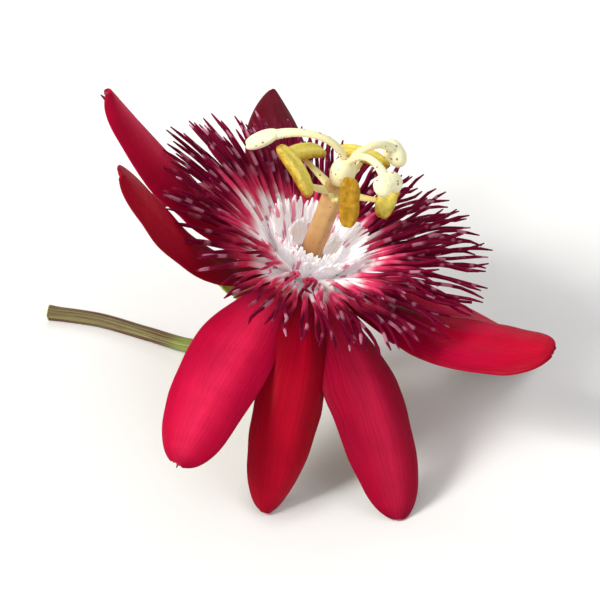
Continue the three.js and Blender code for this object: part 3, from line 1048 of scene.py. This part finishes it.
@dataclass
class Corona:
    """The rows of threads round the column, on their rings."""

    outer_rows: tuple[ThreadRow, ...] = (
        ThreadRow(136, 7.3, 1.1, 23.6, 10.6, 2.8, 0.58, 0.29, 0.75, 11),
        ThreadRow(108, 6.9, 1.5, 17.0, 13.2, 2.4, 0.54, 0.28, 0.7, 23),
    )
    eye_rows: tuple[ThreadRow, ...] = (
        ThreadRow(96, 5.4, 0.8, 3.8, 7.8, 0.5, 0.48, 0.32, 0.35, 37),
        ThreadRow(72, 4.4, 0.8, 0.6, 5.4, 0.3, 0.46, 0.3, 0.25, 41),
    )
    full_reach: float = 23.6
    high_side: float = 175
    side_lift: float = 1.8
    cross_dip: float = 5.0
    pale_turn: float = -115
    pale_gain: float = 0.56
    sides: int = 5
    outer_steps: int = 12
    eye_steps: int = 7
    reaches: tuple[float, float] = (0.9, 1.06)
    rises: tuple[float, float] = (0.86, 1.12)
    sways: tuple[float, float] = (-1.1, 1.1)
    waves: tuple[float, float] = (1.2, 2.2)
    wave_sizes: tuple[float, float] = (0.4, 1.2)
    pleats: int = 30
    pleat_depth: float = 0.045

    def lift(self, turn: float, reach: float) -> float:
        """Gives the height that the corona gains on its high side and loses at its front and back."""
        side = self.side_lift * math.cos(turn - math.radians(self.high_side))
        return (side - self.cross_dip * math.sin(turn) ** 2) * reach / self.full_reach

    def add_row(self, strands: Strands, row: ThreadRow) -> None:
        """Lays one row of threads, each a little different from its neighbours."""
        draw = random.Random(row.seed)
        for k in range(row.count):
            turn = 2 * math.pi * (k + draw.uniform(-0.25, 0.25)) / row.count
            reach = row.reach * draw.uniform(*self.reaches)
            rise = row.rise * draw.uniform(*self.rises) + self.lift(turn, row.reach)
            sway = draw.uniform(*self.sways) * row.reach / 20
            phase = draw.uniform(0, 6.28)
            waves = draw.uniform(*self.waves)
            wave = row.wave * draw.uniform(*self.wave_sizes)
            root = Vector((row.root - 0.4, 0, row.foot - 0.2))
            tip = Vector((row.root + reach, sway, row.foot + rise))
            knee = root.lerp(tip, 0.5) + Vector((-0.4 * row.bow, 0, row.bow))
            spin = Matrix.Rotation(turn, 3, "Z")
            gain = self.pale_gain * (1 + math.cos(turn - math.radians(self.pale_turn))) / 2
            run = row.reach / self.full_reach * (1 - gain)

            def curve(share: float) -> Vector:
                """Follows the thread's bow, with its waves growing towards its tip."""
                swing = wave * share**1.6
                angle = 2 * math.pi * waves * share + phase
                ripple = Vector((0, swing * math.sin(angle), 0.7 * swing * math.cos(angle * 0.9)))
                return spin @ (bezier((root, knee, tip), share) + ripple)

            def size(share: float) -> tuple[float, float]:
                """Tapers the thread, with a blunt tip."""
                radius = mix(row.thick, row.tip, share) * (1 if share < NEAR_END else 0.45)
                return (radius, radius)

            strands.add(curve, size, draw.random(), spin @ SIDEWAYS, run)

    def build_rings(self, skin: Material) -> None:
        """Builds the ring under the threads, and the pleated skirt round the column's foot."""
        ring = turned([(6.3, 0.4), (8, 0.2), (7.95, 1.2), (7.2, 2.1), (6.3, 1.7), (6.3, 0.4)], 96)
        ring.finish("corona_ring", [skin], "corona_white", [], PLACING.bloom(), 1)
        outside = [(3.5, -2.4), (5.8, -2.4), (5.8, 0.6), (5.0, 1.5), (3.6, 2.3), (2.5, 2.9)]
        skirt = turned([*outside, (2.4, 2.7), (3.5, 1.9), (3.5, -2.4)], 120)

        def pleat(turn: float, place: Vector) -> float:
            """Pleats the skirt, more towards its top."""
            return 1 + self.pleat_depth * math.cos(self.pleats * turn) * smooth(place.z, -1, 1.5)

        flute(skirt, pleat)
        skirt.finish("corona_skirt", [skin], "corona_white", [], PLACING.bloom(), 1)

    def build(self, skins: Skins) -> None:
        """Builds and dresses the outer threads, the eye and their rings."""
        sets = (
            ("corona_threads", self.outer_rows, self.outer_steps, "outer_threads", "corona_maroon"),
            ("corona_eye", self.eye_rows, self.eye_steps, "eye_threads", "corona_white"),
        )
        for node, rows, steps, skin, slot in sets:
            threads = Strands(Body(), self.sides, steps)
            for row in rows:
                self.add_row(threads, row)
            threads.body.finish(f"{node}_fine", [skins[skin]], slot, [node], PLACING.bloom())
        self.build_rings(skins["eye_ring"])


@dataclass(frozen=True)
class StamenPose:
    """How one stamen stands: its turn, its reach, its rise, and how its anther tilts, swings and rolls."""

    turn: float
    reach: float
    rise: float
    tilt: float
    yaw: float = 0.0
    roll: float = 0.0


@dataclass(frozen=True)
class StylePose:
    """How one style arches, with the height of its end above the ovary's top and its stigma's three sizes."""

    turn: float
    reach: float
    arch: float
    end: float
    stigma: tuple[float, float, float] = (3.0, 1.9, 2.3)


@dataclass
class Crown:
    """What stands over the eye: the column, the ovary, the stamens with their anthers, and the styles."""

    column_foot: float = -2.5
    flutes: int = 5
    flute_depth: float = 0.05
    ovary_radius: float = 2.3
    ovary_height: float = 6.0
    furrows: int = 3
    furrow_depth: float = 0.05
    stamens: tuple[StamenPose, ...] = (
        StamenPose(-11, 9, 1.6, 8),
        StamenPose(60, 8.8, 2, -14),
        StamenPose(133, 9, 0.4, 10),
        StamenPose(205, 10.5, 4.4, -32, 33),
        StamenPose(263, 8.7, 4.3, -75, 0, -80),
    )
    stamen_drop: float = 0.9
    stamen_root: float = 1.3
    collar: float = 2.3
    stalk_widths: tuple[float, float] = (1.2, 0.4)
    stalk_depths: tuple[float, float] = (0.65, 0.36)
    anther_length: float = 10.5
    anther_width: float = 3.9
    anther_thickness: float = 2.4
    groove_depth: float = 0.42
    waist_depth: float = 0.1
    end_droop: float = 0.7
    dust_depth: float = 0.06
    styles: tuple[StylePose, ...] = (
        StylePose(-56, 10.8, 4.6, 1.6),
        StylePose(26, 11, 3.4, -1.2),
        StylePose(178, 17, 4.2, -1.6, (1.7, 1.3, 3.6)),
    )
    style_radius: float = 0.88

    @property
    def ovary_bottom(self) -> float:
        """Gives the height of the ovary's foot."""
        return COLUMN_TOP + SEAT_GAP

    @property
    def ovary_top(self) -> float:
        """Gives the height where the styles leave the ovary."""
        return self.ovary_bottom + self.ovary_height

    def build_column(self, finish: Material) -> None:
        """Builds the column, with its flared foot and the collar that the stamens leave."""
        low = self.column_foot
        top = COLUMN_TOP
        profile = [
            (0, low), (2.75, low), (2.6, low + 0.5), (2.4, low + 0.9), (2.15, low + 1.8), (1.98, low + 3.2),
            (1.92, 6), (1.88, 10), (1.92, top - 3), (2.02, top - 1.6), (2.15, top - 0.8), (2.15, top - 0.1),
            (1.85, top + 0.25), (0, top + 0.35),
        ]
        column = turned(profile, 40)

        def girth(turn: float, place: Vector) -> float:
            """Gives the column its flutes and a little unevenness."""
            return 1 + self.flute_depth * math.cos(self.flutes * turn) + 0.012 * noise.noise(place * 0.9)

        flute(column, girth)
        column.finish("column_stem", [finish], "column_peach", ["column"], PLACING.bloom(), 1)

    def build_ovary(self, finish: Material) -> None:
        """Builds the ovary, with three shallow furrows."""
        body = Body()
        bmesh.ops.create_uvsphere(body.mesh, u_segments=36, v_segments=20, radius=1.0)
        for vertex in body.mesh.verts:
            x, y, z = vertex.co
            turn = math.atan2(y, x)
            girth = self.ovary_radius * (1 + self.furrow_depth * math.cos(self.furrows * turn) - 0.06 * z)
            height = self.ovary_bottom + self.ovary_height / 2 * (1 + z * 1.02)
            vertex.co = Vector((x * girth, y * girth, height - 0.05))
            body.mark(vertex, (z + 1) / 2, turn / math.pi, 0.2)
        body.finish("ovary_body", [finish], "style_cream", ["ovary"], PLACING.bloom(), 1)

    def build_stamens(self, filament: Material, pollen: Material) -> None:
        """Builds the five stamens and the anther that each carries on its end."""
        level = COLUMN_TOP - self.stamen_drop
        for k, pose in enumerate(self.stamens):
            root = Vector((self.stamen_root, 0, level - 0.1))
            knee = Vector((mix(self.collar, pose.reach, 0.55), 0, level + 0.12 * pose.rise + 0.25))
            end = Vector((pose.reach, 0, level + pose.rise))

            def curve(share: float) -> Vector:
                """Follows the stamen's bow."""
                return bezier((root, knee, end), share)

            def size(share: float) -> tuple[float, float]:
                """Narrows the flat stamen stalk to its tip."""
                return (mix(*self.stalk_widths, share**0.8), mix(*self.stalk_depths, share))

            stamen = Strands(Body(), 10, 14)
            stamen.add(curve, size, k / 5)
            anther = self.anther_body(end, pose, k)
            pieces = (
                (stamen.body, f"stamen_{k + 1}", "stalk", filament, "style_cream"),
                (anther, f"anther_{k + 1}", "bag", pollen, "pollen_gold"),
            )
            for body, node, kind, finish, slot in pieces:
                body.finish(f"{node}_{kind}", [finish], slot, [node], PLACING.bloom(pose.turn), 1)

    def anther_body(self, seat: Vector, pose: StamenPose, number: int) -> Body:
        """Builds an anther: two long bags side by side, with a rough dusting of pollen.

        Args:
            seat: The end of the stamen that carries it.
            pose: How it stands there.
            number: Which anther it is.

        Returns:
            The anther's body, with its mark for depth 1 on its back and 0 on its pollen side.
        """
        body = Body()
        bmesh.ops.create_uvsphere(body.mesh, u_segments=36, v_segments=30, radius=1.0)
        angles = ((pose.roll, "Y"), (pose.tilt, "X"), (pose.yaw, "Z"))
        roll, tilt, yaw = (Matrix.Rotation(math.radians(angle), 3, axis) for angle, axis in angles)
        swing = yaw @ tilt
        deep = mix(self.anther_thickness, self.anther_width, abs(pose.roll) / 90)
        rise = Vector((0, 0, deep / 2 + 0.3))
        for vertex in body.mesh.verts:
            x, y, z = vertex.co
            girth = math.sqrt(max(1 - z * z, 0)) ** 0.6
            angle = math.atan2(y, x)
            groove = 1 - self.groove_depth * abs(math.sin(angle)) ** 10
            waist = 1 - self.waist_depth * bell(z, 0, 0.3)
            place = Vector((
                self.anther_width / 2 * girth * math.cos(angle) * waist,
                self.anther_length / 2 * z,
                self.anther_thickness / 2 * girth * math.sin(angle) * groove - self.end_droop * z * z,
            ))
            dust = 1 + self.dust_depth * noise.noise(place * 2.6 + Vector((number * 7, 0, 0)))
            place.x *= dust
            place.z *= dust
            vertex.co = seat + swing @ (roll @ place + rise)
            body.mark(vertex, (z + 1) / 2, x, number / 5, (y + 1) / 2)
        return body

    def build_styles(self, finish: Material) -> None:
        """Builds the three styles, each ending in its broad two-lobed stigma."""
        start = self.ovary_top
        for k, pose in enumerate(self.styles):
            points = (
                Vector((0.7, 0, start - 0.35)),
                Vector((3.2, 0, start + pose.arch * 1.15)),
                Vector((pose.reach * 0.75, 0.6, start + pose.arch)),
                Vector((pose.reach, 1.2, start + pose.end)),
            )

            def curve(share: float) -> Vector:
                """Follows the style's arch, to just inside its stigma."""
                return bezier(points, share * 0.93)

            def size(share: float) -> tuple[float, float]:
                """Swells the style a little towards its stigma."""
                swell = 0.85 + 0.3 * smooth(share, 0.5, 0.9)
                radius = self.style_radius * swell * (1 if share < NEAR_END else 0.6)
                return (radius, radius * 0.92)

            strands = Strands(Body(), 12, 26)
            strands.add(curve, size, k / 3)
            ahead = (bezier(points, 0.95) - bezier(points, 0.85)).normalized()
            self.add_stigma(strands.body, bezier(points, 0.9), ahead, pose.stigma, k / 3)
            placing = PLACING.bloom(pose.turn)
            strands.body.finish(f"style_{k + 1}_arm", [finish], "style_cream", [f"style_{k + 1}"], placing, 1)

    @staticmethod
    def add_stigma(
        body: Body, centre: Vector, ahead: Vector, sizes: tuple[float, float, float], tone: float,
    ) -> None:
        """Adds a stigma, with two lobes and a notch at its end.

        Args:
            body: The body to add it to.
            centre: Its middle.
            ahead: The direction in which its style ends.
            sizes: Half its width across its style, half its depth and half its length along its style.
            tone: Its own mark.
        """
        side = (SIDEWAYS - ahead * SIDEWAYS.dot(ahead)).normalized()
        through = ahead.cross(side)
        made = bmesh.ops.create_uvsphere(body.mesh, u_segments=28, v_segments=18, radius=1.0)
        for vertex in made["verts"]:
            x, y, z = vertex.co
            wide = sizes[0] * x
            deep = sizes[1] * z * (0.95 + 0.12 * abs(x))
            long = sizes[2] * y * (0.95 + 0.1 * abs(x)) - (0.9 * bell(x, 0, 0.3) * max(y, 0.0))
            place = centre + side * wide + through * deep + ahead * (long + 0.3)
            bumps = 0.09 * noise.noise(place * 3.1)
            vertex.co = place + (place - centre).normalized() * bumps
            body.mark(vertex, 1.0, x, tone)

    def build(self, skins: Skins) -> None:
        """Builds and dresses the whole crown."""
        self.build_column(skins["column_skin"])
        self.build_ovary(skins["style_skin"])
        self.build_stamens(skins["stamen_skin"], skins["pollen_skin"])
        self.build_styles(skins["style_skin"])


@dataclass
class Calyx:
    """What stands behind the bloom: the green cup and the three toothed bracts."""

    bract_turns: tuple[float, ...] = (28, 152, 268)
    neck: float = 2.2
    wall: float = 1.8
    floor: float = -2.8
    shoulder: float = -2.2
    bowl_steps: int = 12
    ribs: int = 10
    rib_depth: float = 0.018

    def build_cup(self, finish: Material) -> None:
        """Builds the cup, with ten shallow ribs on its outside."""
        bowl = []
        for k in range(self.bowl_steps, 0, -1):
            angle = math.pi / 2 * k / self.bowl_steps
            bowl.append((
                mix(CUP_RADIUS, self.neck, 1 - math.cos(angle)),
                self.shoulder - (CUP_DEPTH + self.shoulder) * math.sin(angle),
            ))
        inner = CUP_RADIUS - self.wall
        rim = [(CUP_RADIUS, self.shoulder), (CUP_RADIUS, -0.25), (CUP_RADIUS - 0.3, 0), (inner, 0)]
        inside = [(inner, self.floor), (inner - 0.5, self.floor), (0, self.floor)]
        cup = turned([(0, -CUP_DEPTH), (1.2, -CUP_DEPTH), *bowl, *rim, *inside], 80)

        def rib(turn: float, place: Vector) -> float:
            """Ribs the outside, and leaves the inside round."""
            outside = math.hypot(place.x, place.y) > inner + 0.4 or place.z < self.floor - 0.1
            depth = self.rib_depth if outside else 0.0
            return 1 + depth * math.cos(self.ribs * turn) * smooth(-place.z, 0, 3)

        flute(cup, rib)
        cup.finish("floral_cup_shell", [finish], "cup_green", ["floral_cup"], PLACING.bloom(), 1)

    def build_bracts(self, inner: Material, outer: Material) -> None:
        """Builds the three bracts, which grow from the stalk's joint below the cup."""
        for k, turn in enumerate(self.bract_turns):
            pose = BladePose(f"bract_{k + 1}", turn, (-24, -4, 26), -30, 8, 0.8, root=1.6)
            blade = Blade(BRACT_FORM, pose, seed=40 + 3 * k)
            body = blade.body(90, 20, k / 3)
            placing = PLACING.bloom(turn)
            body.finish(f"{pose.name}_blade", [inner, outer], "bract_green", [pose.name], placing, 1)

    def build(self, skins: Skins) -> None:
        """Builds and dresses the cup and the bracts."""
        self.build_cup(skins["cup_skin"])
        self.build_bracts(skins["bract_inner"], skins["bract_outer"])


@dataclass
class Stalk:
    """The stalk: down from the cup, round, and along the surface to its cut end."""

    radius: float = 1.25
    cut_radius: float = 1.35
    sunk: float = 0.15
    rim: float = 0.22
    steps: int = 90
    sides: int = 20
    cuts: int = 16

    def route(self) -> list[Vector]:
        """Gives the points that the stalk passes, in millimetres from the surface below the centre."""
        down = -PLACING.axis
        centre = Vector((0, 0, CENTRE_HEIGHT))
        level = self.radius - self.sunk
        lying = (
            (-11.5, 5.5, 8.4), (-20, 11.5, level + 1.4), (-29, 17.5, level), (-38, 22, level),
            (-47.5, 24.5, level),
        )
        leaving = [centre + down * (CUP_DEPTH + reach) for reach in (SEAT_GAP, 5.5)]
        return [*leaving, *(Vector(place) for place in lying)]

    def curve(self) -> Curve:
        """Passes a smooth curve through the route, evenly paced.

        Returns:
            The point at each share of the curve's length.
        """
        route = self.route()
        ends = [route[0] * 2 - route[1], *route, route[-1] * 2 - route[-2]]
        fine = []
        for points in zip(ends, ends[1:], ends[2:], ends[3:]):
            knots = running(math.sqrt((b - a).length) for a, b in zip(points, points[1:]))
            for k in range(self.cuts):
                fine.append(self.between(points, knots, mix(knots[1], knots[2], k / self.cuts)))
        fine.append(route[-1])
        paces = running((b - a).length for a, b in zip(fine, fine[1:]))

        def at(share: float) -> Vector:
            """Finds the point at a share of the length."""
            wanted = share * paces[-1]
            k = max(i for i, pace in enumerate(paces[:-1]) if pace <= wanted + 1e-9)
            rest = (wanted - paces[k]) / (paces[k + 1] - paces[k])
            return fine[k].lerp(fine[k + 1], rest)

        return at

    @staticmethod
    def between(points: Sequence[Vector], knots: Sequence[float], t: float) -> Vector:
        """Works out a centripetal Catmull-Rom point between the middle two of four points."""
        row = list(points)
        for pairs in (((0, 1), (1, 2), (2, 3)), ((0, 2), (1, 3)), ((1, 2),)):
            row = [
                a.lerp(b, (t - knots[low]) / (knots[high] - knots[low]))
                for a, b, (low, high) in zip(row, row[1:], pairs)
            ]
        return row[0]

    def build(self, skins: Skins) -> None:
        """Builds and dresses the stalk and the pale face where it was cut."""

        def size(share: float) -> tuple[float, float]:
            """Thickens the stalk at its joint and a little at its cut end."""
            knot = 0.42 * bell(share, 0.035, 0.03) + 0.12 * bell(share, 1.0, 0.02)
            radius = mix(self.radius, self.cut_radius, share) + knot
            return (radius, radius)

        strands = Strands(Body(), self.sides, self.steps)
        strands.add(self.curve(), size, 0.5)
        body = strands.body
        for face in body.mesh.faces:
            along = [vertex[body.layers[Mark.ALONG]] for vertex in face.verts]
            face.material_index = 1 if len(along) > 4 and min(along) > 0.99 else 0
        caps = [face for face in body.mesh.faces if face.material_index == 1]
        rim = bmesh.ops.inset_region(body.mesh, faces=caps, thickness=self.rim, depth=0.0)["faces"]
        for face in rim:
            face.material_index = 1
        finishes = [skins["stalk_skin"], skins["cut_face"]]
        body.finish("stalk_stem", finishes, "stalk_green", ["stalk"], PLACING.surface())


@dataclass(frozen=True)
class Lamp:
    """A square soft light: its name, its place and side in metres, its power in watts and its colour."""

    name: str
    place: tuple[float, float, float]
    side: float
    power: float
    shade: str


@dataclass
class Studio:
    """The pale surface, the soft lights and the camera, in metres apart from the camera's aim and sensor."""

    lamps: tuple[Lamp, ...] = (
        Lamp("key_light", (-0.68, -0.38, 0.68), 0.3, 9.7, "fffdf9"),
        Lamp("fill_light", (0.6, -0.6, 0.5), 0.6, 1.3, "f8faff"),
        Lamp("back_light", (0.1, 0.7, 0.6), 0.5, 1.8, "ffffff"),
    )
    lamp_aim: float = 0.03
    daylight: float = 0.5
    surface_reach: float = 3.0
    surface_drop: float = 0.00005
    elevation: float = 34.0
    distance: float = 0.9
    field: float = 0.108
    sensor: float = 36.0
    view_end: float = 20.0
    aim: tuple[float, float, float] = (1.0, 0.0, 18.5)

    @staticmethod
    def place(name: str, data: bpy.types.ID) -> bpy.types.Object:
        """Puts a mesh, a light or a camera into the scene."""
        item = bpy.data.objects.new(name, data)
        bpy.context.scene.collection.objects.link(item)
        return item

    def lay_surface(self, skin: Material) -> None:
        """Lays the surface, a hair below the flower."""
        grid = bmesh.new()
        bmesh.ops.create_grid(grid, x_segments=8, y_segments=8, size=self.surface_reach)
        bmesh.ops.translate(grid, verts=grid.verts, vec=(0, 0, -self.surface_drop))
        data = bpy.data.meshes.new("floor")
        grid.to_mesh(data)
        grid.free()
        data.materials.append(skin)
        self.place("floor", data)

    def hang(self, lamp: Lamp) -> None:
        """Hangs a light that faces the flower."""
        light = bpy.data.lights.new(lamp.name, "AREA")
        light.shape = "SQUARE"
        light.size = lamp.side
        light.energy = lamp.power
        light.color = tint(lamp.shade)[:3]
        item = self.place(lamp.name, light)
        item.location = lamp.place
        ahead = Vector((0, 0, self.lamp_aim)) - Vector(lamp.place)
        item.rotation_euler = ahead.to_track_quat("-Z", "Y").to_euler()

    def set_camera(self) -> None:
        """Sets the camera at the photo's viewing angle."""
        lens = bpy.data.cameras.new("camera")
        lens.sensor_width = self.sensor
        lens.lens = self.sensor * self.distance / self.field
        lens.clip_end = self.view_end
        camera = self.place("camera", lens)
        tilt = math.radians(self.elevation)
        back = Vector((0, -math.cos(tilt), math.sin(tilt)))
        camera.location = Vector(self.aim) * MM + back * self.distance
        camera.rotation_euler = (-back).to_track_quat("-Z", "Y").to_euler()
        bpy.context.scene.camera = camera

    def build(self, skins: Skins) -> None:
        """Lays the surface, lights it and sets the camera."""
        self.lay_surface(skins["pale_surface"])
        for lamp in self.lamps:
            self.hang(lamp)
        world = bpy.data.worlds.new("studio")
        world.use_nodes = True
        world.node_tree.nodes["Background"].inputs["Color"].default_value = (1, 1, 1, 1)
        world.node_tree.nodes["Background"].inputs["Strength"].default_value = self.daylight
        bpy.context.scene.world = world
        bpy.context.scene.view_settings.view_transform = "Standard"
        self.set_camera()


FINISHES: tuple[Finish, ...] = (
    BladeFinish("petal_inner", roughness=0.45, softness=0.12, gloss=0.06),
    BladeFinish(
        "petal_outer", roughness=0.5, softness=0.12, gloss=0.1, claw="ad5a72", body="a42a4c", tip="a81a42",
        rim="8c103a", keel="98364f", blush="ac2a50", vein="760e34", vein_share=0.4, line_share=0.2,
    ),
    BladeFinish(
        "sepal_inner", roughness=0.5, softness=0.12, gloss=0.04, claw="a01a42", body="b20630", tip="c00836",
        rim="8e0228", keel="ee2c58", blush="cc0e40", vein="9c042c", claw_end=0.34, keel_share=0.7,
        keel_width=0.75,
    ),
    BladeFinish(
        "sepal_outer", roughness=0.5, softness=0.08, gloss=0.15, claw="859a42", body="748236", tip="804438",
        rim="90163a", keel="7c9636", blush="748236", vein="62702a", keel_share=0.8, keel_width=0.3,
        rim_share=0.95, veins=18.0, vein_share=0.3, line_share=0.12,
    ),
    # The threads and the eye ring give off light of their own colour: painted light that whitens the eye
    # where its threads shade one another.
    ThreadFinish("outer_threads", roughness=0.6, softness=0.2, gloss=0.06, bleed=(1.0, 0.7, 0.75), painted_glow=0.04),
    ThreadFinish(
        "eye_threads", roughness=0.6, softness=0.5, gloss=0.1, bleed=(1.0, 0.9, 0.92), painted_glow=0.12,
        pale="fffcfd", pale_end=0.93, dark_start=1.12, blush="d0507c", dark="7d1238",
    ),
    SpeckledFinish(
        "eye_ring", softness=0.5, gloss=0.1, bleed=(1.0, 0.9, 0.92), painted_glow=0.09, low="fdf2f5", high="fffcfd",
        speck="b82a56", speck_scale=420.0, speck_size=0.2,
    ),
    SpeckledFinish(
        "column_skin", softness=0.12, gloss=0.15, low="b98558", high="d3af74", speck="a04252", speck_size=0.2,
    ),
    SpeckledFinish(
        "style_skin", softness=0.15, gloss=0.2, low="f2eab6", high="f6f3cc", speck="7a1434", speck_share=0.7,
    ),
    SpeckledFinish(
        "stamen_skin", softness=0.12, gloss=0.15, low="e9dfa0", high="e4d27a", speck="8a2440",
        speck_size=0.25,
    ),
    AntherFinish("pollen_skin", roughness=0.85, softness=0.05, gloss=0.1),
    SpeckledFinish(
        "cup_skin", softness=0.05, low="7f9a3c", high="b9c46e", speck="8c3a3c", speck_scale=500.0,
        speck_size=0.2,
    ),
    BladeFinish(
        "bract_inner", roughness=0.42, softness=0.05, claw="9db04a", body="6f9a1d", tip="7fa62a",
        rim="5b8418", keel="a9c25a", vein="4f7c14", veins=14.0, vein_share=0.45, line_share=0.4,
        keel_width=0.12,
    ),
    BladeFinish(
        "bract_outer", roughness=0.5, softness=0.05, claw="a9b765", body="86a648", tip="8cab4a",
        rim="76963a", keel="b7c87a", vein="6a8c34", veins=14.0, vein_share=0.4, line_share=0.3,
        keel_width=0.12,
    ),
    SpeckledFinish("cut_face", low="cdd59a", high="dfe3b4", speck="9aa860", speck_scale=2200.0),
    StemFinish("stalk_skin"),
    PlainFinish("pale_surface", roughness=0.7, softness=0.0),
)


def main() -> None:
    """Builds the finishes and the sub-assemblies in order."""
    logging.basicConfig(level=logging.INFO, format="%(message)s")
    LOG.info("bloom centre: %.3f %.3f %.3f mm", *(PLACING.centre / MM))
    skins = {finish.name: finish.material() for finish in FINISHES}
    for assembly in (Tepals(), Corona(), Crown(), Calyx(), Stalk(), Studio()):
        assembly.build(skins)


if __name__ == "__main__":
    main()
